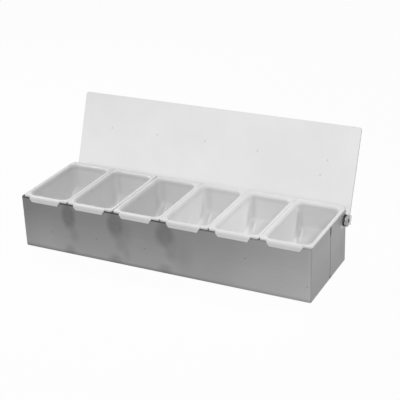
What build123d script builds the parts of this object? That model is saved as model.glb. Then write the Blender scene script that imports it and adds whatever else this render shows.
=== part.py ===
from build123d import *
import os
from math import cos, radians, sin

# Bar garnish tray: a folded steel body, six lift-out inserts hung side by side on its top edge
# and a clear lid that swings on a pivot at each end. Millimetres. The origin is the middle of
# the underside of the steel body, +X along its length, the open front towards -Y, +Z up.

# Steel body, folded from one sheet
tray_length = 496.0
tray_depth = 149.2
tray_height = 88.2
sheet_thickness = 0.8
corner_bend_radius = 3.2
base_bend_radius = 2.6
hem_height = 7.0
hem_edge_radius = 0.7

# Seam where the two flaps of each end wall meet
seam_setback = 5.0
seam_groove_width = 1.2
seam_groove_depth = 0.35
seam_slot_width = 2.6
seam_slot_height = 14.0
seam_notch_width = 3.0
seam_notch_height = 3.2
seam_notch_lift = 2.9

# Insert: a drafted tub under a flat rim
insert_count = 6
rim_thickness = 1.6
rim_corner_radius = 4.0
rim_edge_radius = 0.7
rim_lift = 3.0
rim_front_inset = 0.6
rim_rear_overhang = 2.0
row_left_margin = 4.9
row_right_margin = 0.1
rim_gaps = (0.5, 1.5, 0.4, 0.4, 0.4)
tub_wall = 1.8
tub_draft = 2.3
side_flange = 7.0
front_flange = 8.2
rear_flange = 11.7
tub_corner_radius = 10.8
tub_floor_height = 10.0
tub_floor_radius = 7.6
ramp_start_height = 51.0
ramp_angle = 33.0
mouth_radius = 5.0
rim_skirt = 1.5

# Lip that hooks over the front of the steel, and the pads that sit on its top edge
lip_reach = 3.0
lip_thickness = 1.6
lip_fold_radius = 5.0
lip_drop = 3.7
lip_side_inset = 10.9
lip_taper = 6.0
lip_corner_radius = 2.0
pad_width = 8.0
pad_depth = 3.0
pad_spacing = 40.0
seat_clearance = 0.3

# Pivot of the lid
pivot_setback = 5.8
pivot_drop = 17.2
shank_radius = 1.5
shank_clearance = 0.1
running_clearance = 0.05
head_radius = 9.5
head_thickness = 2.0
head_edge_radius = 0.8
recess_width = 6.0
recess_depth = 1.3
washer_radius = 9.2
washer_thickness = 1.1
side_clearance = 0.1
bend_clearance = 0.1
inner_washer_thickness = 0.6
nut_across_flats = 5.5
nut_thickness = 2.6
nut_collar_radius = 2.4
nut_collar_height = 1.2
shank_tip_length = 0.6

# Lid: one clear sheet with an ear bent down at each end
lid_end_inset = 0.5
lid_thickness = 2.0
lid_offset = 23.2
lid_reach = 143.0
lid_corner_radius = 5.0
lid_open_angle = 110.7
ear_radius = 7.5
ear_bend_radius = 3.0

# One overrun serves every cut
overrun = 5.0

half_length = tray_length / 2
front_face = -tray_depth / 2
rear_face = tray_depth / 2
rim_top = tray_height + rim_lift
rim_underside = rim_top - rim_thickness
pivot_y = rear_face - pivot_setback
pivot_height = tray_height - pivot_drop
inner_washer_radius = pivot_setback - corner_bend_radius - bend_clearance
lid_width = tray_length - 2 * lid_end_inset
row_length = tray_length - row_left_margin - row_right_margin
rim_width = (row_length - sum(rim_gaps)) / insert_count
lip_top_width = rim_width - 2 * lip_side_inset
lip_bottom_width = lip_top_width - 2 * lip_taper
down = (0, 0, -1)


def steel_form(inset, top):
    """The outside of the folded body, or its inside when inset by the sheet, up to a height."""
    with BuildPart() as form:
        with BuildSketch(Plane.XY.offset(inset)):
            RectangleRounded(
                tray_length - 2 * inset,
                tray_depth - 2 * inset,
                corner_bend_radius - inset,
            )
        extrude(amount=top - inset)
        base = form.faces().sort_by(Axis.Z)[0]
        fillet(base.edges(), base_bend_radius - inset)
    return form.part


def end_seam(side):
    """The cuts along the seam of one end wall: open slot, ground groove and bottom notch."""
    slot_bottom = tray_height - seam_slot_height
    notch_top = seam_notch_lift + seam_notch_height
    groove_face = side * (half_length - seam_groove_depth)
    inner_face = side * (half_length - 2 * sheet_thickness - overrun)
    outward = (side, 0, 0)
    across = (0, 1, 0)
    wall = Plane(origin=(inner_face, seam_setback, 0), x_dir=across, z_dir=outward)
    skin = Plane(origin=(groove_face, seam_setback, 0), x_dir=across, z_dir=outward)
    with BuildPart() as cuts:
        with BuildSketch(wall):
            with Locations((0, side * (slot_bottom + tray_height + overrun) / 2)):
                Rectangle(seam_slot_width, seam_slot_height + overrun)
            with Locations((0, side * (seam_notch_lift + seam_notch_height / 2))):
                Rectangle(seam_notch_width, seam_notch_height)
        extrude(amount=2 * overrun)
        with BuildSketch(skin):
            with Locations((0, side * (slot_bottom + notch_top) / 2)):
                Rectangle(seam_groove_width, slot_bottom - notch_top)
        extrude(amount=overrun)
    return cuts.part


def make_tray_body():
    """The folded steel shell with its hem, end seams and pivot holes."""
    hem_bottom = tray_height - hem_height
    outside = steel_form(0, tray_height)
    inside = steel_form(sheet_thickness, hem_bottom)
    with BuildPart() as body:
        add(outside)
        add(inside, mode=Mode.SUBTRACT)
        with BuildSketch(Plane.XY.offset(hem_bottom)):
            RectangleRounded(
                tray_length - 4 * sheet_thickness,
                tray_depth - 4 * sheet_thickness,
                corner_bend_radius - 2 * sheet_thickness,
            )
        extrude(amount=hem_height + overrun, mode=Mode.SUBTRACT)
        top = body.faces().filter_by(Axis.Z).sort_by(Axis.Z)[-1]
        fillet(top.edges(), hem_edge_radius)
        for side in (-1, 1):
            add(end_seam(side), mode=Mode.SUBTRACT)
            hole = Plane(origin=(side * half_length, pivot_y, pivot_height), z_dir=(side, 0, 0))
            with BuildSketch(hole):
                Circle(shank_radius + shank_clearance)
            extrude(amount=overrun, both=True, mode=Mode.SUBTRACT)
    return body.part


def tub_form(centre_x, inset):
    """A drafted tub with a ramp at the rear: its outside, or its inside when inset."""
    width = rim_width - 2 * side_flange + 2 * (tub_wall - inset)
    front = front_face + rim_front_inset + front_flange - tub_wall + inset
    rear = rear_face + rim_rear_overhang - rear_flange + tub_wall - inset
    floor = tub_floor_height + inset
    outward = tub_wall - inset
    rise = sin(radians(ramp_angle))
    run = cos(radians(ramp_angle))
    ramp_y = rear_face + rim_rear_overhang - rear_flange + outward * rise
    ramp_z = ramp_start_height - outward * run
    below = (ramp_z - tub_floor_height + overrun) / rise
    high = (ramp_y + overrun * run, ramp_z + overrun * rise)
    low = (ramp_y - below * run, ramp_z - below * rise)
    mouth = Plane(origin=(centre_x, (front + rear) / 2, rim_top), x_dir=(1, 0, 0), z_dir=down)
    with BuildPart() as form:
        with BuildSketch(mouth):
            RectangleRounded(width, rear - front, tub_corner_radius - inset)
        extrude(amount=rim_top - floor, taper=tub_draft)
        with BuildSketch(Plane.YZ.offset(centre_x)):
            with BuildLine():
                Polyline(high, low, (high[0], low[1]), close=True)
            make_face()
        extrude(amount=width, both=True, mode=Mode.SUBTRACT)
        flat = form.faces().sort_by(Axis.Z)[0]
        ramp = form.faces().filter_by(Plane(origin=(0, 0, 0), z_dir=(0, rise, -run)))[0]
        bends = [edge for edge in ramp.edges() if edge not in flat.edges()]
        fillet(flat.edges() + bends, tub_floor_radius - inset)
    return form.part


def front_lip(centre_x):
    """The lip folded down over the steel's front, narrower at its bottom edge."""
    lip_face = front_face - lip_reach
    fold_y = lip_face + lip_fold_radius
    fold_z = rim_top - lip_fold_radius
    bottom = fold_z - lip_drop
    inner = lip_fold_radius - lip_thickness
    root = fold_y + lip_fold_radius
    with BuildPart() as lip:
        with BuildSketch(Plane.YZ.offset(centre_x)):
            with BuildLine():
                Line((root, rim_top), (fold_y, rim_top))
                CenterArc((fold_y, fold_z), lip_fold_radius, 90, 90)
                Line((lip_face, fold_z), (lip_face, bottom))
                Line((lip_face, bottom), (lip_face + lip_thickness, bottom))
                Line((lip_face + lip_thickness, bottom), (lip_face + lip_thickness, fold_z))
                CenterArc((fold_y, fold_z), inner, 180, -90)
                Line((fold_y, fold_z + inner), (root, fold_z + inner))
                Line((root, fold_z + inner), (root, rim_top))
            make_face()
        extrude(amount=lip_top_width / 2, both=True)
        with BuildSketch(Plane(origin=(centre_x, root, 0), x_dir=(1, 0, 0), z_dir=(0, -1, 0))):
            with BuildLine():
                Polyline(
                    (-lip_bottom_width / 2, bottom),
                    (lip_bottom_width / 2, bottom),
                    (lip_top_width / 2, rim_top),
                    (-lip_top_width / 2, rim_top),
                    close=True,
                )
            make_face()
            low_corners = vertices().group_by(Axis.Z)[0]
            fillet(low_corners, lip_corner_radius)
        extrude(amount=2 * lip_fold_radius, mode=Mode.INTERSECT)
    return lip.part


def make_insert(centre_x):
    """One white insert: rim with its skirt, tub, front lip and the pads that it hangs by."""
    rim_front = front_face + rim_front_inset
    rim_rear = rear_face + rim_rear_overhang
    rim_depth = rim_rear - rim_front
    rim_bottom = tray_height + seat_clearance
    rim_plane = Plane(origin=(centre_x, (rim_front + rim_rear) / 2, rim_underside))
    skirt_plane = Plane(origin=(centre_x, (rim_front + rim_rear) / 2, rim_bottom))
    pad_plane = Plane(origin=(centre_x, 0, rim_bottom))
    outside = tub_form(centre_x, 0)
    inside = tub_form(centre_x, tub_wall)
    lip = front_lip(centre_x)
    with BuildPart() as insert:
        with BuildSketch(rim_plane):
            RectangleRounded(rim_width, rim_depth, rim_corner_radius)
        extrude(amount=rim_thickness)
        top = insert.faces().sort_by(Axis.Z)[-1]
        fillet(top.edges(), rim_edge_radius)
        add(outside)
        under = insert.faces().filter_by(Axis.Z).sort_by(Axis.Z)[-2]
        fillet(under.inner_wires().edges(), mouth_radius - tub_wall)
        with BuildSketch(skirt_plane):
            RectangleRounded(rim_width, rim_depth, rim_corner_radius)
            RectangleRounded(
                rim_width - 2 * rim_skirt,
                rim_depth - 2 * rim_skirt,
                rim_corner_radius - rim_skirt,
                mode=Mode.SUBTRACT,
            )
        extrude(amount=rim_underside - rim_bottom)
        add(lip)
        with BuildSketch(pad_plane):
            with GridLocations(pad_spacing, tray_depth - pad_depth, 2, 2):
                Rectangle(pad_width, pad_depth)
        extrude(amount=rim_underside - rim_bottom)
        add(inside, mode=Mode.SUBTRACT)
        top = insert.faces().filter_by(Axis.Z).sort_by(Axis.Z)[-1]
        fillet(top.inner_wires().edges(), mouth_radius)
    return insert.part


def make_lid():
    """The clear sheet and its two ears, leaning back at the angle of the photograph."""
    lean = radians(lid_open_angle)
    pivot = Plane(
        origin=(0, pivot_y, pivot_height),
        x_dir=(1, 0, 0),
        z_dir=(0, sin(lean), cos(lean)),
    )
    under = lid_offset - lid_thickness / 2
    over = lid_offset + lid_thickness / 2
    sheet_length = lid_reach + ear_radius
    ear_inner = half_length + washer_thickness + side_clearance
    ear_outer = ear_inner + lid_thickness
    bend_x = ear_outer - ear_bend_radius
    inner_bend = ear_bend_radius - lid_thickness
    bend_z = over - ear_bend_radius
    tab_root = lid_width / 2 - lid_corner_radius
    with BuildPart() as lid:
        with BuildSketch(pivot.offset(under)):
            with Locations((0, (ear_radius - lid_reach) / 2)):
                Rectangle(lid_width, sheet_length)
        extrude(amount=lid_thickness)
        uprights = lid.edges().filter_by(Axis(pivot.origin, pivot.z_dir)).group_by(Axis.Z)[-1]
        fillet(uprights, lid_corner_radius)
        for side in (-1, 1):
            outward = pivot.x_dir * side
            section = Plane(
                origin=pivot.origin,
                x_dir=outward,
                z_dir=outward.cross(pivot.z_dir),
            )
            with BuildSketch(section):
                with BuildLine():
                    Line((tab_root, over), (bend_x, over))
                    CenterArc((bend_x, bend_z), ear_bend_radius, 0, 90)
                    Line((ear_outer, bend_z), (ear_outer, 0))
                    Line((ear_outer, 0), (ear_inner, 0))
                    Line((ear_inner, 0), (ear_inner, bend_z))
                    CenterArc((bend_x, bend_z), inner_bend, 0, 90)
                    Line((bend_x, under), (tab_root, under))
                    Line((tab_root, under), (tab_root, over))
                make_face()
            extrude(amount=ear_radius, both=True)
            face = Plane(
                origin=pivot.from_local_coords((side * ear_inner, 0, 0)),
                x_dir=pivot.y_dir,
                z_dir=outward,
            )
            with BuildSketch(face):
                Circle(ear_radius)
            extrude(amount=lid_thickness)
            with BuildSketch(face):
                Circle(shank_radius + running_clearance)
            extrude(amount=overrun, both=True, mode=Mode.SUBTRACT)
    return lid.part


def pivot_plane(side, distance):
    """A plane across the pivot axis, at a distance outwards from the face of the end wall."""
    return Plane(
        origin=(side * (half_length + distance), pivot_y, pivot_height),
        x_dir=(0, side, 0),
        z_dir=(side, 0, 0),
    )


def make_screw(side):
    """A wide flat head with a driver recess, and the shank that the ear turns on."""
    head_seat = washer_thickness + lid_thickness + 2 * side_clearance
    tail = sheet_thickness + inner_washer_thickness + nut_thickness + nut_collar_height
    tip = -(tail + shank_tip_length)
    with BuildPart() as screw:
        with BuildSketch(pivot_plane(side, head_seat)):
            Circle(head_radius)
        extrude(amount=head_thickness)
        outer = screw.faces().sort_by(Axis.X)[-1 if side > 0 else 0]
        fillet(outer.edges(), head_edge_radius)
        with BuildSketch(pivot_plane(side, head_seat + head_thickness - recess_depth)):
            RegularPolygon(recess_width / 2, 6, major_radius=False)
        extrude(amount=overrun, mode=Mode.SUBTRACT)
        with BuildSketch(pivot_plane(side, tip)):
            Circle(shank_radius)
        extrude(amount=head_seat - tip)
    return screw.part


def make_ring(side, distance, outer_radius, thickness):
    """A flat washer round the shank, starting at a distance from the wall's face."""
    with BuildPart() as ring:
        with BuildSketch(pivot_plane(side, distance)):
            Circle(outer_radius)
            Circle(shank_radius + shank_clearance, mode=Mode.SUBTRACT)
        extrude(amount=thickness)
    return ring.part


def make_nut(side):
    """A lock nut inside the wall: a hexagon with a round collar on its inner face."""
    hex_start = -(sheet_thickness + inner_washer_thickness + nut_thickness)
    with BuildPart() as nut:
        with BuildSketch(pivot_plane(side, hex_start)):
            RegularPolygon(nut_across_flats / 2, 6, major_radius=False)
        extrude(amount=nut_thickness)
        with BuildSketch(pivot_plane(side, hex_start - nut_collar_height)):
            Circle(nut_collar_radius)
        extrude(amount=nut_collar_height)
        with BuildSketch(pivot_plane(side, hex_start - nut_collar_height - overrun)):
            Circle(shank_radius)
        extrude(amount=nut_thickness + nut_collar_height + 2 * overrun, mode=Mode.SUBTRACT)
    return nut.part


def insert_centres():
    """The middle of each insert, from the left end, with the gaps that the photograph shows."""
    first = -half_length + row_left_margin + rim_width / 2
    return [first + number * rim_width + sum(rim_gaps[:number]) for number in range(insert_count)]


def save(part, name):
    """Label a finished piece and write it under its own name."""
    part.label = name
    export_step(part, f"parts/{name}.step")
    print(name, round(part.volume), "mm3", part.is_valid, len(part.solids()))


os.makedirs("parts", exist_ok=True)

save(make_tray_body(), "tray_body")
for number, centre_x in enumerate(insert_centres(), start=1):
    save(make_insert(centre_x), f"insert_{number}")
save(make_lid(), "lid")
for side, hand in ((-1, "left"), (1, "right")):
    inner_face = -(sheet_thickness + inner_washer_thickness)
    save(make_screw(side), f"pivot_screw_{hand}")
    save(make_ring(side, 0, washer_radius, washer_thickness), f"pivot_washer_{hand}")
    save(
        make_ring(side, inner_face, inner_washer_radius, inner_washer_thickness),
        f"pivot_inner_washer_{hand}",
    )
    save(make_nut(side), f"pivot_nut_{hand}")
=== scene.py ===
# %% [markdown]
# # A bar garnish tray
#
# The object is a long folded steel tray that stands on a bar top. Six white tubs hang side by side
# on its top edge, and one clear sheet swings on a screw at each end to cover them all.
#
# All its shapes are drawn already, as the solids of a packed model. They could be built here again
# as meshes, but two models of one thing soon drift apart. So this script loads the solids and gives
# them their looks: first the view, then the stage and the lamps, then one finish at a time.

from math import radians

import bpy
from mathutils import Matrix, Vector


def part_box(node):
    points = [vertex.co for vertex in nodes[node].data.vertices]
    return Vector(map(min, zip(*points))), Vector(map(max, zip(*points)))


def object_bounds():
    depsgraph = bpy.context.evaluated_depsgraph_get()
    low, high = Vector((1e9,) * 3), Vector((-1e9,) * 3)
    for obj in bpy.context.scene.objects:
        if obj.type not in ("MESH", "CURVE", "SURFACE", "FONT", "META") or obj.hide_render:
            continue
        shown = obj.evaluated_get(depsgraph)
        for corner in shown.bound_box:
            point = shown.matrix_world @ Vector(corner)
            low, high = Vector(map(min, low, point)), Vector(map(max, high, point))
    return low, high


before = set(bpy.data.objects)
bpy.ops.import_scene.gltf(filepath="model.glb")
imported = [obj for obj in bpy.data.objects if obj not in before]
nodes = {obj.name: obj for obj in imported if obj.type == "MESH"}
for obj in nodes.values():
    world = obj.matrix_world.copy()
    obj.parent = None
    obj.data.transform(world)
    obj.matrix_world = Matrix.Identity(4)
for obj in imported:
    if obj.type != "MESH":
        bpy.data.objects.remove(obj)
cad_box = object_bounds()
print("pieces in the frame:", len(nodes))
print("box of the model, metres:", [[round(v, 4) for v in corner] for corner in cad_box])

# %% [markdown]
# ## The camera
#
# The view was worked out from the photograph by fitting a pinhole camera to the straight edges of
# the steel and of the sheet. A fitted camera is three directions and a place, so it goes straight
# into the object's matrix. Aiming with a Track To constraint would lose the slight sideways roll.

# %% The camera of the photograph
view_right = Vector((0.8966, 0.4416, -0.03313))
view_down = Vector((0.15467, -0.38239, -0.91096))
view_forward = Vector((-0.41495, 0.81165, -0.41115))
camera_place = Vector((0.72089, -1.34022, 0.77683))
lens_mm, sensor_mm = 96.02, 36.0
nearest_seen = 0.01

camera = bpy.data.objects.new("camera", bpy.data.cameras.new("camera"))
camera.data.lens = lens_mm
camera.data.sensor_width = sensor_mm
camera.data.clip_start = nearest_seen
turn = Matrix((view_right, -view_down, -view_forward)).transposed()
camera.matrix_world = Matrix.Translation(camera_place) @ turn.to_4x4()
bpy.context.scene.collection.objects.link(camera)
bpy.context.scene.camera = camera
bpy.context.scene.view_settings.view_transform = "Standard"
print("camera stands", round(camera_place.length, 3), "m from the tray")

# %% [markdown]
# ## A node helper
#
# Blender builds a look as a tree of nodes, joined socket to socket. Drawing them in the shader
# editor is pleasant but can't be kept in a script, and writing each link by hand is long. So one
# small class adds a node, sets its sockets and joins it to what feeds it.


# %% Short ways to build a node tree
class Tree:
    """Adds nodes to one node tree and joins them."""

    def __init__(self, tree):
        self.tree = tree

    def add(self, kind, settings=None, **inputs):
        """A new node. Settings are its menus, inputs its sockets by name or by _ and a number."""
        node = self.tree.nodes.new(kind)
        for key, value in (settings or {}).items():
            setattr(node, key, value)
        for key, value in inputs.items():
            socket = node.inputs[int(key[1:])] if key[0] == "_" else node.inputs[key]
            self.feed(socket, value)
        return node

    def feed(self, socket, value):
        """Joins another node's output to a socket, or sets the socket's own value."""
        if isinstance(value, bpy.types.NodeSocket):
            self.tree.links.new(value, socket)
        else:
            socket.default_value = value

    def math(self, operation, first, second=0.0):
        """One step of arithmetic, such as ADD, MAXIMUM or GREATER_THAN."""
        return self.add("ShaderNodeMath", {"operation": operation}, _0=first, _1=second).outputs[0]

    def product(self, first, *others):
        """All the values multiplied together."""
        for other in others:
            first = self.math("MULTIPLY", first, other)
        return first

    def total(self, first, *others):
        """All the values added up."""
        for other in others:
            first = self.math("ADD", first, other)
        return first

    def between(self, value, low, high, start, end, curve="LINEAR"):
        """Slides from start, where the value is low, to end, where it is high, and stops there."""
        node = self.add("ShaderNodeMapRange", {"interpolation_type": curve}, Value=value)
        for number, bound in enumerate((low, high, start, end), start=1):
            self.feed(node.inputs[number], bound)
        return node.outputs["Result"]

    def either(self, factor, first, second):
        """The first value where the factor is zero, the second where it is one."""
        node = self.add("ShaderNodeMix", {"data_type": "FLOAT"}, _0=factor, _2=first, _3=second)
        return node.outputs[0]


print("a tree can:", ", ".join(name for name in vars(Tree) if name[0] != "_"))

# %% [markdown]
# ## Patterns
#
# A pattern has to know where it is on the piece. Unwrapping the pieces would give it flat
# coordinates, but simpler still are Object coordinates: every piece keeps its place in metres, so a
# noise scale of 1000 means about one blotch a millimetre, on any piece.
#
# Marks are placed in the same metres. A blob is one inside a small ellipsoid and zero outside, so
# it says where a stain lies, and no picture is needed for it.


# %% Patterns by the place of a point
class Patterns(Tree):
    """A node tree that knows where a point of the piece lies."""

    def __init__(self, tree):
        super().__init__(tree)
        self.place = self.add("ShaderNodeTexCoord").outputs["Object"]

    def axis(self, letter):
        """One of the three numbers of a point's place, metres."""
        return self.add("ShaderNodeSeparateXYZ", Vector=self.place).outputs[letter]

    def faces(self, letter):
        """One where the surface faces along an axis, and minus one where it faces against it."""
        normal = self.add("ShaderNodeNewGeometry").outputs["Normal"]
        return self.add("ShaderNodeSeparateXYZ", Vector=normal).outputs[letter]

    def stretched(self, along, depth, height):
        """The place of a point, with its three directions scaled by different amounts."""
        scale = self.add("ShaderNodeVectorMath", {"operation": "MULTIPLY"}, _0=self.place)
        scale.inputs[1].default_value = (along, depth, height)
        return scale.outputs[0]

    def noise(self, vector, scale=1.0, detail=2.0, roughness=0.5):
        """A cloudy value round one half."""
        node = self.add("ShaderNodeTexNoise", Vector=vector, Scale=scale, Detail=detail)
        node.inputs["Roughness"].default_value = roughness
        return node.outputs["Fac"]

    def blob(self, centre, radii, firm=0.0, place=None):
        """One in the firm share of an ellipsoid, fading from there to zero at its rim."""
        away = self.add("ShaderNodeVectorMath", {"operation": "SUBTRACT"}, _0=place or self.place)
        away.inputs[1].default_value = centre
        shrunk = self.add("ShaderNodeVectorMath", {"operation": "DIVIDE"}, _0=away.outputs[0])
        shrunk.inputs[1].default_value = radii
        length = self.add("ShaderNodeVectorMath", {"operation": "LENGTH"}, _0=shrunk.outputs[0])
        return self.between(length.outputs["Value"], firm, 1.0, 1.0, 0.0, curve="SMOOTHSTEP")

    def placed(self, side, shape, place=None):
        """A blob at a place along the tray. Its shape is where it lies on the two other axes, its
        three radii and how firm it is."""
        spot, radii, firm = shape
        return self.blob((side, *spot), radii, firm, place)


print("patterns can also:", ", ".join(name for name in vars(Patterns) if name[0] != "_"))

# %% [markdown]
# ## A finish
#
# Every finish here is a Principled shader, Blender's one shader for most real materials, with its
# patterns in front of it. Separate shaders for paint, metal and plastic could be mixed by hand, but
# this one keeps them physically right. Its colour is built up as a painter would: a ground tone
# first, then one thin layer of grey after the other, each where a blob or a noise says.


# %% A finish is the node tree of one material
class Finish(Patterns):
    """One material, with its Principled shader and the colours that go into it."""

    def __init__(self, name):
        self.material = bpy.data.materials.new(name)
        self.material.use_nodes = True
        super().__init__(self.material.node_tree)
        self.shader = self.tree.nodes["Principled BSDF"]
        self.output = self.tree.nodes["Material Output"]

    def set(self, **inputs):
        """Sets sockets of the shader itself. An underscore in a name stands for a space."""
        for key, value in inputs.items():
            self.feed(self.shader.inputs[key.replace("_", " ")], value)

    def show(self, shader):
        """Makes the material show another shader instead of the Principled one alone."""
        self.feed(self.output.inputs["Surface"], shader)

    def tint(self, factor, first, second, blend="MIX"):
        """Mixes two colours. A colour is a grey level, three numbers or another node's output."""
        node = self.add("ShaderNodeMix", {"data_type": "RGBA", "blend_type": blend})
        self.feed(node.inputs[0], factor)
        for number, colour in ((6, first), (7, second)):
            if isinstance(colour, float):
                colour = (colour, colour, colour, 1.0)
            self.feed(node.inputs[number], colour)
        return node.outputs[2]

    def toned(self, colour, tone):
        """The colour, made lighter or darker by a factor."""
        return self.tint(1.0, colour, tone, "MULTIPLY")

    def marked(self, colour, mask, depth, grey):
        """The colour with a grey laid over it where the mask is, as strongly as the depth says."""
        return self.tint(self.math("MULTIPLY", mask, depth), colour, grey)

    def bump(self, height, distance, strength):
        """Turns a height into tilts of the surface. Distance is how tall the height is, metres."""
        node = self.add("ShaderNodeBump", Height=height, Distance=distance, Strength=strength)
        return node.outputs["Normal"]


def dress(finish, *names):
    """Gives a finish to pieces of the frame."""
    for name in names:
        slots = nodes[name].data.materials
        slots.clear()
        slots.append(finish.material)
    print(finish.material.name, "on", ", ".join(names))


print("a finish can also:", ", ".join(name for name in vars(Finish) if name[0] != "_"))

# %% [markdown]
# ## The floor and the backdrop
#
# The photograph's background is pure white. A lamp strong enough to burn a grey floor out to white
# would also burn out the white tubs. So the floor is an ordinary pale one for the light that falls
# on it, and for the camera, mirrors and clear things most of it is a plain white glow. What is left
# of the ordinary floor keeps a faint shadow under the tray.
#
# Steel shows the room rather than itself. The photographed front is darker on the left than on the
# right, so the glow that mirrors see also fades from right to left, as a sheet of card would.
#
# The sky round the floor works the same way: it is full white to look at, and much weaker as light.


# %% The colour of the floor
def looks(tree):
    """One for a ray that looks, straight, in a mirror or through a clear sheet, else zero."""
    ray = tree.add("ShaderNodeLightPath").outputs
    straight_or_mirrored = tree.math("MAXIMUM", ray["Is Camera Ray"], ray["Is Glossy Ray"])
    return tree.math("MAXIMUM", straight_or_mirrored, ray["Is Transmission Ray"])


FLOOR_DARK, FLOOR_LIGHT, FLOOR_ROUGHNESS, FLOOR_GLOSS = 0.80, 0.84, 0.9, 0.1
GLOW_SHARE = 0.96
# The place from left to right, metres, and how bright the glow is in a mirror at both.
MIRROR_FADE = (-0.42, 0.24, 0.50, 1.0)

floor_finish = Finish("pale_floor")
floor_grain = floor_finish.noise(floor_finish.place, scale=40.0, detail=3.0)
floor_finish.set(Base_Color=floor_finish.tint(floor_grain, FLOOR_DARK, FLOOR_LIGHT))
floor_finish.set(Roughness=FLOOR_ROUGHNESS, Specular_IOR_Level=FLOOR_GLOSS)

ray_kind = floor_finish.add("ShaderNodeLightPath").outputs
in_a_mirror = floor_finish.math(
    "GREATER_THAN", ray_kind["Is Glossy Ray"], ray_kind["Is Transmission Ray"])
mirror_level = floor_finish.between(floor_finish.axis("X"), *MIRROR_FADE)
glow_level = floor_finish.either(in_a_mirror, 1.0, mirror_level)
glow = floor_finish.add("ShaderNodeEmission", Strength=glow_level).outputs[0]
glow_share = floor_finish.math("MULTIPLY", looks(floor_finish), GLOW_SHARE)
ordinary = floor_finish.shader.outputs[0]
floor_mix = floor_finish.add("ShaderNodeMixShader", _0=glow_share, _1=ordinary, _2=glow)
floor_finish.show(floor_mix.outputs[0])
print("a mirror sees the floor at", MIRROR_FADE[2], "on the left,", MIRROR_FADE[3], "on the right")

# %% The floor itself
FLOOR_REACH = 6.0
FLOOR_BELOW = 0.0002

floor_height = cad_box[0][2] - FLOOR_BELOW
corners = [(-FLOOR_REACH, -FLOOR_REACH), (FLOOR_REACH, -FLOOR_REACH)]
corners += [(FLOOR_REACH, FLOOR_REACH), (-FLOOR_REACH, FLOOR_REACH)]
floor_mesh = bpy.data.meshes.new("floor")
floor_mesh.from_pydata([(x, y, floor_height) for x, y in corners], [], [(0, 1, 2, 3)])
floor_mesh.materials.append(floor_finish.material)
floor = bpy.data.objects.new("floor", floor_mesh)
bpy.context.scene.collection.objects.link(floor)
print("floor lies at z =", round(floor_height, 5))

# %% The sky round the stage
SKY_LEVEL = 0.30

world = bpy.data.worlds.new("studio")
bpy.context.scene.world = world
world.use_nodes = True
sky = Tree(world.node_tree)
background = world.node_tree.nodes["Background"]
sky.feed(background.inputs["Color"], (1.0, 1.0, 1.0, 1.0))
sky.feed(background.inputs["Strength"], sky.between(looks(sky), 0.0, 1.0, SKY_LEVEL, 1.0))
print("sky gives", SKY_LEVEL, "of a full white as light")

# %% [markdown]
# ## The lamps
#
# Lamps can be set by eye, one after the other, but each one changes what the last one did. Here the
# scene was rendered once with each lamp alone, and a least squares fit found how much of each one
# repeats the photograph's greys inside the tubs. It kept a weak sky, three soft panels in front, on
# the left and behind, and two narrow beams from the right that reach only the three right tubs.
# Their left walls are much lighter in the photograph.


# %% Panels and beams
CONE_FADE = 0.3


def hang(light, place, target):
    """Puts a lamp at a place, turned to face a target."""
    lamp = bpy.data.objects.new(light.name, light)
    lamp.location = place
    aim = Vector(target) - Vector(place)
    lamp.rotation_euler = aim.to_track_quat("-Z", "Y").to_euler()
    bpy.context.scene.collection.objects.link(lamp)
    print(light.name, "stands", round(aim.length, 2), "m from its target, with", light.energy, "W")


def panel_lamp(name, place, target, width, height, watts):
    """A soft rectangular lamp."""
    light = bpy.data.lights.new(name, "AREA")
    light.shape = "RECTANGLE"
    light.size = width
    light.size_y = height
    light.energy = watts
    hang(light, place, target)


def beam_lamp(name, place, target, angle, watts, radius):
    """A lamp with a narrow cone of light, which fades towards the cone's rim."""
    light = bpy.data.lights.new(name, "SPOT")
    light.spot_size = radians(angle)
    light.spot_blend = CONE_FADE
    light.shadow_soft_size = radius
    light.energy = watts
    hang(light, place, target)


TRAY_MIDDLE = (0.0, 0.0, 0.05)
RIGHT_TUBS = (0.16, 0.0, 0.07)
RIGHT_TUBS_REAR = (0.155, 0.0, 0.07)

panel_lamp("front_panel", place=(0.10, -1.13, 1.20), target=TRAY_MIDDLE,
           width=0.8, height=0.6, watts=5.9)
panel_lamp("left_panel", place=(-1.0, 0.0, 0.91), target=TRAY_MIDDLE,
           width=0.6, height=0.6, watts=2.4)
panel_lamp("rear_panel", place=(-0.86, 0.50, 1.06), target=TRAY_MIDDLE,
           width=0.5, height=0.5, watts=5.1)
beam_lamp("front_beam", place=(0.91, -0.88, 0.87), target=RIGHT_TUBS,
          angle=14.0, watts=9.6, radius=0.08)
beam_lamp("rear_beam", place=(1.03, 0.50, 1.06), target=RIGHT_TUBS_REAR,
          angle=16.5, watts=27.0, radius=0.12)

# %% [markdown]
# ## Brushed steel
#
# The body is one sheet, brushed along its length before it was folded. So the hairlines run level
# round all four walls. An anisotropic shader gives the long highlight of brushed metal, but no
# lines. Noise that is squeezed hundreds of times finer across the brushing than along it draws
# them, and the same noise tilts the surface a little, which smears reflections as real lines do.

# %% The grain
# How often each pattern repeats in a metre, along the brushing and across it.
GRAIN_ALONG, GRAIN_ACROSS = 9.0, 2600.0
SCUFF_ALONG, SCUFF_ACROSS = 22.0, 420.0
# Noise stays near one half, so its middle is stretched to the range that is wanted.
CLOUDY = (0.3, 0.7)
HAIRLINE_SPREAD = (0.25, 0.75)
DARK_STEEL, LIGHT_STEEL, HAIRLINE_GREY = 0.25, 0.28, 0.45
HAIRLINE_DEPTH = 0.18
UPWARD = 0.7

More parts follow.
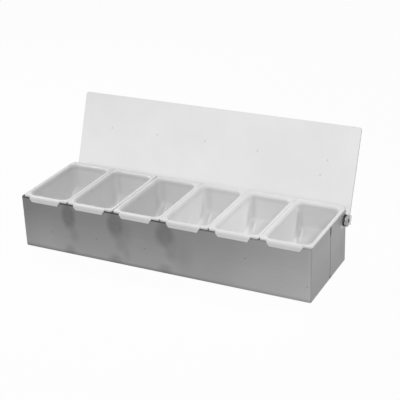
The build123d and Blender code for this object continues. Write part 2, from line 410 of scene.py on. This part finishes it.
steel = Finish("brushed_steel_sheet")
lies_flat = steel.math("GREATER_THAN", steel.math("ABSOLUTE", steel.faces("Z")), UPWARD)
on_walls = steel.stretched(GRAIN_ALONG, GRAIN_ALONG, GRAIN_ACROSS)
on_base = steel.stretched(GRAIN_ALONG, GRAIN_ACROSS, GRAIN_ALONG)
grain_mix = steel.add(
    "ShaderNodeMix", {"data_type": "VECTOR"}, _0=lies_flat, _4=on_walls, _5=on_base)
hairlines = steel.noise(grain_mix.outputs[1], detail=3.0, roughness=0.65)
scuffs = steel.noise(steel.stretched(SCUFF_ALONG, SCUFF_ALONG, SCUFF_ACROSS))
clouds = steel.noise(steel.place, scale=9.0, detail=3.0)
grey = steel.tint(steel.between(clouds, *CLOUDY, 0.0, 1.0), DARK_STEEL, LIGHT_STEEL)
hairline_share = steel.between(hairlines, *HAIRLINE_SPREAD, 0.0, HAIRLINE_DEPTH)
grey = steel.tint(hairline_share, grey, HAIRLINE_GREY)
print("hairlines are", round(GRAIN_ACROSS / GRAIN_ALONG), "times longer than thick")

# %% [markdown]
# ## The steel's painted light
#
# The fading glow makes the front lighter from left to right, but leaves its left half too dark.
# The photographed front also lightens towards its foot, and is dark again where it meets the bar
# top. More cards and lamps round the stage could draw that, but each would also light the tubs. So
# the sheet's own grey carries the rest, as a factor for each place on the wall.
# That factor is painted light, with painted shade at the foot of the front.

# %% Where a point lies on the walls
# How far behind the front face the front's painted light has faded out.
FRONT_REACH = 0.0032

half_length, half_depth, steel_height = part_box("tray_body")[1]
along, up = steel.axis("X"), steel.axis("Z")
from_end = steel.math("SUBTRACT", half_length, steel.math("ABSOLUTE", along))
from_front = steel.math("ADD", half_depth, steel.axis("Y"))
on_front = steel.between(from_front, 0.0, FRONT_REACH, 1.0, 0.0)
print("the steel is", round(2 * half_length, 4), "m long and", round(steel_height, 4), "m high")

# %% Painted light from end to end, and painted shade down at the foot
# Each one is two places on the wall, metres, and what the painted light has or gains at both.
MAIN_PAINTED_LIGHT = (-0.19, 0.08, 1.27, 1.06)
RIGHT_GAIN = (0.10, 0.24, 0.0, 0.18)
LEFT_LOSS = (-0.248, -0.20, -0.12, 0.0)
LOW_GAIN = (-0.2, 0.04, 0.31, 0.16)
LOW_DOWN = (0.070, 0.012, 0.0, 1.0)
FOOT_PAINTED_SHADE = (0.0, 0.12, 0.52, 0.70)
FOOT_HEIGHT = 0.0075
END_PAINTED_LIGHT = (0.01, 0.06, 0.97, 1.08)

painted_light_parts = [steel.between(along, *part) for part in (MAIN_PAINTED_LIGHT, RIGHT_GAIN, LEFT_LOSS)]
painted_light_along = steel.total(*painted_light_parts)
low_painted_light = steel.product(steel.between(along, *LOW_GAIN), steel.between(up, *LOW_DOWN))
foot = steel.between(up, 0.0, FOOT_HEIGHT, steel.between(along, *FOOT_PAINTED_SHADE), 1.0)
front_wall_painted_light = steel.product(painted_light_along, foot, steel.math("ADD", 1.0, low_painted_light))
end_wall_painted_light = steel.between(up, *END_PAINTED_LIGHT)
grey = steel.toned(grey, steel.either(on_front, end_wall_painted_light, front_wall_painted_light))
# Prints how the painted light on the front falls and gains.
print("the front's tone falls from", MAIN_PAINTED_LIGHT[2], "to", MAIN_PAINTED_LIGHT[3], "and gains", RIGHT_GAIN[3])

# %% [markdown]
# ## Painted reflections and stains on the steel
#
# Below the first three gaps between the tubs the front shows painted reflections of the dark
# gaps, each a dark blot with a thin tail and a faint trace at the foot. Softer veils of painted
# reflection lie beside them. A used tray is not clean either: there are a few pits, and the right
# end wall has one smear. Painted on an image they would be sharp at one size of picture only, so
# each one is a blob at its own place on the wall.

# %% Painted reflections below the gaps
# How deep a mark on the front goes into the sheet, the grey of a painted reflection, the stretch
# of a ragged noise and how much of a mark is left at both its ends.
MARK_REACH = 0.012
REFLECTION_GREY = 0.09
PATCHY = (0.25, 0.6, 0.8, 1.0)
# A painted reflection's place along the front and half its width. Its parts follow: how far to
# the right, how high, the share of the width, half the height, how firm and how deep.
GAP_REFLECTIONS = [(-0.1605, 0.017), (-0.0760, 0.019), (0.0115, 0.019)]
BLOT = (0.0, 0.068, 1.0, 0.030, 0.4, 0.42)
TAIL = (0.008, 0.036, 0.8, 0.021, 0.0, 0.20)
TRACE = (-0.002, 0.006, 0.9, 0.016, 0.2, 0.27)


def front_mark(side, height, half_width, half_height, firm=0.0):
    """A spot on the front wall, placed from the middle of the tray and from its foot."""
    return steel.blob((side, -half_depth, height), (half_width, MARK_REACH, half_height), firm)


ragged = steel.noise(steel.place, scale=120.0, detail=3.0)
patchy = steel.between(ragged, *PATCHY)
for side, half_width in GAP_REFLECTIONS:
    for shift, height, share, half_height, firm, depth in (BLOT, TAIL, TRACE):
        spot = front_mark(side + shift, height, share * half_width, half_height, firm)
        grey = steel.marked(grey, steel.product(spot, patchy), depth, REFLECTION_GREY)
# Counts the painted reflections below the gaps.
print("drips:", len(GAP_REFLECTIONS))

# %% Soft painted reflections beside them
# The place along the front, the height, half the width and half the height.
SOFT_REFLECTIONS = [
    (-0.0580, 0.058, 0.018, 0.034), (-0.0570, 0.020, 0.010, 0.018),
    (-0.0020, 0.062, 0.008, 0.022), (0.0270, 0.062, 0.010, 0.026),
    (0.0400, 0.038, 0.032, 0.042),
]
SOFT_REFLECTION_DEPTH = 0.17

for soft_reflection in SOFT_REFLECTIONS:
    grey = steel.marked(grey, steel.product(front_mark(*soft_reflection), patchy), SOFT_REFLECTION_DEPTH, REFLECTION_GREY)
# Counts the soft painted reflections.
print("veils:", len(SOFT_REFLECTIONS))

# %% Pits and a smear
# The place of each pit along the front and its height.
PITS = [
    (-0.1937, 0.0343), (-0.1115, 0.0357), (-0.0245, 0.0366), (0.2419, 0.0266), (0.1444, 0.0536),
]
PIT_RADIUS, PIT_FIRM, PIT_DEPTH, PIT_AND_CREASE_SHADE_GREY = 0.0016, 0.3, 0.5, 0.08
# The shape of the smear: its place back and up on the end wall, its radii, how firm it is.
SMEAR, SMEAR_DEPTH = ((0.055, 0.027), (0.006, 0.013, 0.020), 0.0), 0.12

for side, height in PITS:
    pit = front_mark(side, height, PIT_RADIUS, PIT_RADIUS, PIT_FIRM)
    grey = steel.marked(grey, pit, PIT_DEPTH, PIT_AND_CREASE_SHADE_GREY)
grey = steel.marked(grey, steel.placed(half_length, SMEAR), SMEAR_DEPTH, PIT_AND_CREASE_SHADE_GREY)
print("pits:", len(PITS))

# %% [markdown]
# ## Bends, seams and edges of the steel
#
# Where the sheet is bent round a corner it carries a painted highlight, and close to the bend runs
# a crease of painted shade. A weld closes each end wall, and painted shade makes a dark slot at its
# top and a small notch at its foot. Painted light brightens the steel in front of each pivot, and
# the top of the front wall lies in painted shade under the tubs' rims. A mask from the sharpness of
# the edges would find every edge alike. A few lines and blobs say exactly where each mark is.

# %% Painted highlights on the bends, and painted shade in their creases
# Where they lie from the end of the front, how far they go in from it, metres, and how strong.
BEND_WIDTH, BEND_REACH, BEND_DEPTH = 0.00416, 0.0005, 0.10
CREASE_PLACE, CREASE_HALF_WIDTH, CREASE_REACH, CREASE_DEPTH = 0.0012, 0.0008, 0.0025, 0.15
PAINTED_LIGHT_GREY = 0.6

near_front = steel.between(from_front, 0.0, BEND_REACH, 1.0, 0.0)
bend = steel.product(steel.math("LESS_THAN", from_end, BEND_WIDTH), near_front)
grey = steel.marked(grey, bend, BEND_DEPTH, PAINTED_LIGHT_GREY)
on_crease = steel.math("COMPARE", from_end, CREASE_PLACE)
on_crease.node.inputs[2].default_value = CREASE_HALF_WIDTH
crease = steel.product(on_crease, steel.between(from_front, 0.0, CREASE_REACH, 1.0, 0.0))
# The crease is painted shade, in the same grey as the pits.
grey = steel.marked(grey, crease, CREASE_DEPTH, PIT_AND_CREASE_SHADE_GREY)
# Prints the width of the painted highlights on the bends.
print("polished bends are", round(BEND_WIDTH * 1000, 1), "mm wide")

# %% Painted shade in the end seams, and painted light by the pivots
# The shape of a blob on an end wall: its place across and up, its three radii, how firm it is.
SLOT = (0.005, 0.0815), (0.0030, 0.0024, 0.0090), 0.9
NOTCH = (0.005, 0.0045), (0.0030, 0.0026, 0.0028), 0.8
PIVOT_LIGHT = (0.057, 0.073), (0.006, 0.010, 0.014), 0.4
SEAM_SHADE_DEPTH, PIVOT_LIGHT_DEPTH = 0.9, 0.8
SHADE = 0.03

# The slot and the notch are painted shade, the patch by each pivot painted light.
for end in (-half_length, half_length):
    grey = steel.marked(grey, steel.placed(end, SLOT), SEAM_SHADE_DEPTH, SHADE)
    grey = steel.marked(grey, steel.placed(end, NOTCH), SEAM_SHADE_DEPTH, SHADE)
    grey = steel.marked(grey, steel.placed(end, PIVOT_LIGHT), PIVOT_LIGHT_DEPTH, PAINTED_LIGHT_GREY)
print("seams stand", round(SLOT[0][0] * 1000, 1), "mm behind the middle of the end walls")

# %% The shade under the rims, and the surface
# Two heights, or two places along the tray, metres, and the strength of the shade at both.
UNDER_RIMS = (0.0858, 0.0868, 0.0, 1.0)
SHADE_ALONG = (0.0, 0.20, 0.8, 0.2)
ROUGHNESS, ROUGHNESS_OF_MARKS = 0.30, 0.10
HAIRLINE_HEIGHT, HAIRLINE_TILT = 0.00002, 0.5

under_rims = steel.product(steel.between(up, *UNDER_RIMS), on_front)
grey = steel.tint(steel.product(under_rims, steel.between(along, *SHADE_ALONG)), grey, SHADE)
wiped = [steel.product(pattern, ROUGHNESS_OF_MARKS) for pattern in (hairlines, scuffs)]
steel.set(Base_Color=grey, Metallic=1.0, Roughness=steel.total(*wiped, ROUGHNESS))
steel.set(Normal=steel.bump(hairlines, HAIRLINE_HEIGHT, HAIRLINE_TILT))
dress(steel, "tray_body")

# %% [markdown]
# ## White moulded plastic
#
# The tubs are polypropylene or a plastic like it: white and a little glossy, and light sinks into
# it a little way. Subsurface scattering would show that, but in walls this thin it only makes the
# picture noisy. So the plastic is a plain white with a faint mottle and a soft gloss.
#
# The tubs are not lit alike, and that light and shade are painted into one white. Six materials
# could carry it, but then the grain of all six would have to be kept alike. One material is
# enough, with its painted light picked by how far along the tray a point is: one factor for a
# tub's left wall and one for the rest of its inside. The rims carry painted shade at the rear and
# painted light at the front left.

# %% The white and the tubs' places
TUBS = [f"insert_{number}" for number in range(1, 7)]
DARK_WHITE, LIGHT_WHITE = 0.765, 0.805

boxes = [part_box(name) for name in TUBS]
left_rims = [low[0] for low, high in boxes]
gaps = [(before[1][0] + after[0][0]) / 2 for before, after in zip(boxes, boxes[1:])]
white = Finish("white_moulded_plastic")
mottle = white.noise(white.place, scale=60.0)
pale = white.tint(mottle, DARK_WHITE, LIGHT_WHITE)
print("gaps between the tubs at", [round(gap, 4) for gap in gaps])

# %% Painted light tub by tub
# One factor for each tub, from left to right.
LEFT_WALL_PAINTED_LIGHT = [1.07, 1.02, 0.91, 1.13, 1.14, 1.055]
OTHER_WALL_PAINTED_LIGHT = [1.10, 1.08, 1.035, 1.035, 1.045, 0.98]
# How far a surface faces right, and how much it counts as a left wall at both ends.
FACING_RIGHT = (0.4, 0.8, 0.0, 1.0)


def tub_by_tub(tones):
    """A value that changes from tub to tub."""
    value = tones[0]
    for gap, before, after in zip(gaps, tones, tones[1:]):
        past = white.math("GREATER_THAN", white.axis("X"), gap)
        value = white.total(value, white.product(past, after - before))
    return value


left_wall = white.between(white.faces("X"), *FACING_RIGHT)
painted_light_by_tub = white.either(left_wall, tub_by_tub(OTHER_WALL_PAINTED_LIGHT), tub_by_tub(LEFT_WALL_PAINTED_LIGHT))
# Prints the painted light on the tubs' left walls.
print("own tones of the left walls:", LEFT_WALL_PAINTED_LIGHT)

# %% Painted light and shade on the rims
# Two places or heights, metres, and the factor, the gain or the share at both.
REAR_RIM_SHADE = (0.045, 0.066, 1.0, 0.94)
FRONT_RIMS = (-0.060, -0.045, 1.0, 0.0)
FRONT_RIM_LIGHT = (-0.02, 0.02, 0.06, -0.02)
INSIDE = (0.080, 0.088, 1.0, 0.0)

at_front = white.between(white.axis("Y"), *FRONT_RIMS)
front_rim_light = white.product(at_front, white.between(white.axis("X"), *FRONT_RIM_LIGHT))
rim_painted_light = white.total(white.between(white.axis("Y"), *REAR_RIM_SHADE), front_rim_light)
inside = white.between(white.axis("Z"), *INSIDE)
pale = white.tint(inside, white.toned(pale, rim_painted_light), white.toned(pale, painted_light_by_tub))
# Prints the painted shade on the rear rims.
print("rear rims are toned down to", REAR_RIM_SHADE[3])

# %% [markdown]
# ## Painted light and shade inside the tubs
#
# Where a tub's left wall meets its rear wall the corner is painted lighter, and beside it lies an
# upright band of painted shade. The band runs on down the ramp, and there a thin painted highlight
# streak lies beside it. A streak could be a row of small blobs along a line. It is one long blob
# instead, in coordinates that are turned to the ramp's slope and skewed, because the streak slants
# as it goes down. Three dark flecks stick to the left tubs.

# %% Coordinates of the ramp
RAMP_ANGLE = radians(33.0)
STREAK_SLANT = 0.08

turning = white.add("ShaderNodeMapping", Vector=white.place, Rotation=(-RAMP_ANGLE, 0.0, 0.0))
turned = turning.outputs[0]
down_ramp = white.add("ShaderNodeSeparateXYZ", Vector=turned).outputs["Y"]
skew = white.add("ShaderNodeCombineXYZ", _0=white.product(down_ramp, STREAK_SLANT)).outputs[0]
on_ramp = white.add("ShaderNodeVectorMath", _0=turned, _1=skew).outputs[0]
print("the streaks slant by", STREAK_SLANT, "m in each metre")

# %% Bands of painted shade and painted highlight streaks
# How far each tub's corner, band and streak lie from its left rim.
CORNER_IN = 0.0091
BANDS_IN = [0.0111, 0.0133, 0.0145, 0.0179, 0.0136, 0.0098]
STREAKS_IN = [0.0157, 0.0214, 0.0280, 0.0279, 0.0252, 0.0226]
# A blob's shape: its place back and up, or down the ramp and off it, its radii, how firm it is.
LIT_CORNER = (0.060, 0.066), (0.0045, 0.010, 0.030), 0.2
SHADE_BAND = (0.064, 0.068), (0.0075, 0.014, 0.032), 0.1
RAMP_SHADE_BAND = (0.066, 0.008), (0.0045, 0.020, 0.008), 0.1
HIGHLIGHT_STREAK = (0.066, 0.008), (0.0024, 0.016, 0.008), 0.1
RAMP_BAND_LEFT = 0.0045
CORNER_LIGHT_WHITE, CORNER_DEPTH = 0.95, 0.5
BAND_SHADE_GREY, BAND_DEPTH = 0.4, 0.17
STREAK_HIGHLIGHT_WHITE, STREAK_DEPTH = 1.0, 0.95

for rim, band_in, streak_in in zip(left_rims, BANDS_IN, STREAKS_IN):
    corner = white.placed(rim + CORNER_IN, LIT_CORNER)
    pale = white.marked(pale, corner, CORNER_DEPTH, CORNER_LIGHT_WHITE)
    upright = white.placed(rim + band_in, SHADE_BAND)
    sloping = white.placed(rim + streak_in - RAMP_BAND_LEFT, RAMP_SHADE_BAND, on_ramp)
    pale = white.marked(pale, white.math("MAXIMUM", upright, sloping), BAND_DEPTH, BAND_SHADE_GREY)
    streak = white.placed(rim + streak_in, HIGHLIGHT_STREAK, on_ramp)
    pale = white.marked(pale, streak, STREAK_DEPTH, STREAK_HIGHLIGHT_WHITE)
print("bands and streaks in", len(left_rims), "tubs")

# %% Flecks, the second gap and the surface
# The photographed second gap shows no dark line, so the edges that face it are pure white.
# That pure white is painted light, which lifts the shade in the narrow gap.
GAP_EDGE_LIGHT, GAP_LIGHT_WHITE = ((0.0, 0.0897), (0.0016, 0.090, 0.0040), 0.6), 1.0
FLECKS = [(-0.236, -0.0195, 0.0897), (-0.1541, -0.0127, 0.0861), (-0.0712, -0.0023, 0.0834)]
FLECK_RADII, FLECK_FIRM, FLECK_DEPTH, FLECK_GREY = (0.0016, 0.0016, 0.0016), 0.2, 0.6, 0.12
WHITE_ROUGHNESS = (0.28, 0.38)
SKIN_HEIGHT, SKIN_TILT = 0.00004, 0.3

pale = white.tint(white.placed(gaps[1], GAP_EDGE_LIGHT), pale, GAP_LIGHT_WHITE)
for fleck in FLECKS:
    pale = white.marked(pale, white.blob(fleck, FLECK_RADII, FLECK_FIRM), FLECK_DEPTH, FLECK_GREY)
skin = white.noise(white.place, scale=900.0)
white.set(Base_Color=pale, Specular_IOR_Level=0.45)
white.set(Roughness=white.between(mottle, *CLOUDY, *WHITE_ROUGHNESS))
white.set(Normal=white.bump(skin, SKIN_HEIGHT, SKIN_TILT))
dress(white, *TUBS)

# %% [markdown]
# ## The clear lid
#
# Clear plastic sheet is glass to the renderer: it bends light, mirrors a little and passes the
# rest. Real light passes through it to what lies behind, but a renderer makes glass cast a full
# shadow. Caustics would bring that light back, slowly and with noise. So for shadow rays the sheet
# turns into a plain see-through tint. Painted shade makes it a little darker at the top left, and
# a few small scuffs dull it.

# %% The tint of the sheet
# The greys of the tint and of its painted shade at the top left, the stretch of a hazy noise,
# and two places with the values at both.
CLEAR_DARK, CLEAR_LIGHT, TOP_LEFT_SHADE_GREY = 0.765, 0.795, 0.70
HAZE_SPREAD = (0.35, 0.65)
TO_THE_LEFT = (-0.25, 0.05, 1.0, 0.0)
TOWARDS_THE_TOP = (0.12, 0.20, 0.0, 1.0)
TOP_LEFT_SHADE_DEPTH = 0.7

clear = Finish("clear_sheet")
haze = clear.noise(clear.place, scale=14.0)
clear_tint = clear.tint(clear.between(haze, *HAZE_SPREAD, 0.0, 1.0), CLEAR_DARK, CLEAR_LIGHT)
top_left_shade = clear.product(clear.between(clear.axis("X"), *TO_THE_LEFT),
                         clear.between(clear.axis("Z"), *TOWARDS_THE_TOP))
clear_tint = clear.marked(clear_tint, top_left_shade, TOP_LEFT_SHADE_DEPTH, TOP_LEFT_SHADE_GREY)
# Prints the grey of the painted shade at the top left and the lightest tint.
print("the sheet is tinted to", TOP_LEFT_SHADE_GREY, "at its top left and", CLEAR_LIGHT, "at most")

# %% Scuffs, and light through the sheet
# The place of each scuff along the lid and its height, with the lid leaning back.
SCUFFS = [
    (-0.1895, 0.144), (-0.1015, 0.144), (-0.0132, 0.145), (0.0812, 0.142), (0.1998, 0.143),
    (0.1912, 0.120), (0.2345, 0.196),
]
LID_BACK, SCUFF_RADII, SCUFF_FIRM = 0.12, (0.0022, 0.1, 0.0022), 0.1
SCUFF_GREY, SCUFF_DEPTH = 0.4, 0.45
CLEAR_ROUGHNESS = (0.02, 0.05)
SHADOW_TINT = (0.8, 0.8, 0.8, 1.0)

for side, height in SCUFFS:
    scuff = clear.blob((side, LID_BACK, height), SCUFF_RADII, SCUFF_FIRM)
    clear_tint = clear.marked(clear_tint, scuff, SCUFF_DEPTH, SCUFF_GREY)
clear.set(Base_Color=clear_tint, IOR=1.49, Transmission_Weight=1.0)
clear.set(Roughness=clear.between(haze, *CLOUDY, *CLEAR_ROUGHNESS))
shadow_ray = clear.add("ShaderNodeLightPath").outputs["Is Shadow Ray"]
passing = clear.add("ShaderNodeBsdfTransparent", Color=SHADOW_TINT).outputs[0]
sheet = clear.add("ShaderNodeMixShader", _0=shadow_ray, _1=clear.shader.outputs[0], _2=passing)
clear.show(sheet.outputs[0])
dress(clear, "lid")

# %% [markdown]
# ## The pivots
#
# Each end of the lid turns on a wide flat screw head over a black washer. The screws, nuts and
# inner washers are plated steel without a grain, cloudy where the plating has dulled. The driver's
# recess in the head is a real hollow, but it is small and catches as much light as its rim. Deeper
# it would weaken the screw, so a dark blob of painted shade at its bottom makes it read as a hole.
# The washers are black nylon, where fine pores keep the black from looking painted on.

# %% Plated screws
# The recess is marked this far in from the face of the head, metres.
RECESS_IN, RECESS_RADII, RECESS_FIRM = 0.0007, (0.0010, 0.0040, 0.0040), 0.8
DULL_PLATING, BRIGHT_PLATING = 0.30, 0.38
RECESS_SHADE_GREY, RECESS_DEPTH = 0.03, 0.85
PLATED_ROUGHNESS = (0.34, 0.48)
SPOT_HEIGHT, SPOT_TILT = 0.00002, 0.3
HANDS, PLATED_PARTS = ("left", "right"), ("screw", "inner_washer", "nut")

plated = Finish("plated_steel")
spots = plated.noise(plated.place, scale=700.0, detail=3.0)
plating = plated.tint(spots, DULL_PLATING, BRIGHT_PLATING)
head_low, head_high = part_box("pivot_screw_right")
head_middle = (head_low + head_high) / 2
for outwards in (-1.0, 1.0):
    place = (outwards * (head_high.x - RECESS_IN), head_middle.y, head_middle.z)
    recess = plated.blob(place, RECESS_RADII, RECESS_FIRM)
    plating = plated.marked(plating, recess, RECESS_DEPTH, RECESS_SHADE_GREY)
plated.set(Base_Color=plating, Metallic=1.0)
plated.set(Roughness=plated.between(spots, *CLOUDY, *PLATED_ROUGHNESS))
plated.set(Normal=plated.bump(spots, SPOT_HEIGHT, SPOT_TILT))
dress(plated, *[f"pivot_{part}_{hand}" for hand in HANDS for part in PLATED_PARTS])
print("the lid turns", round(head_middle.z, 4), "m above the bar top")

# %% Black washers
BLACK, WORN_BLACK, BLACK_ROUGHNESS = 0.02, 0.035, 0.5
PORE_HEIGHT, PORE_TILT = 0.00003, 0.4

black = Finish("black_nylon")
pores = black.noise(black.place, scale=900.0)
black.set(Base_Color=black.tint(pores, BLACK, WORN_BLACK), Roughness=BLACK_ROUGHNESS)
black.set(Normal=black.bump(pores, PORE_HEIGHT, PORE_TILT))
dress(black, *[f"pivot_washer_{hand}" for hand in HANDS])

# %% [markdown]
# ## Finish
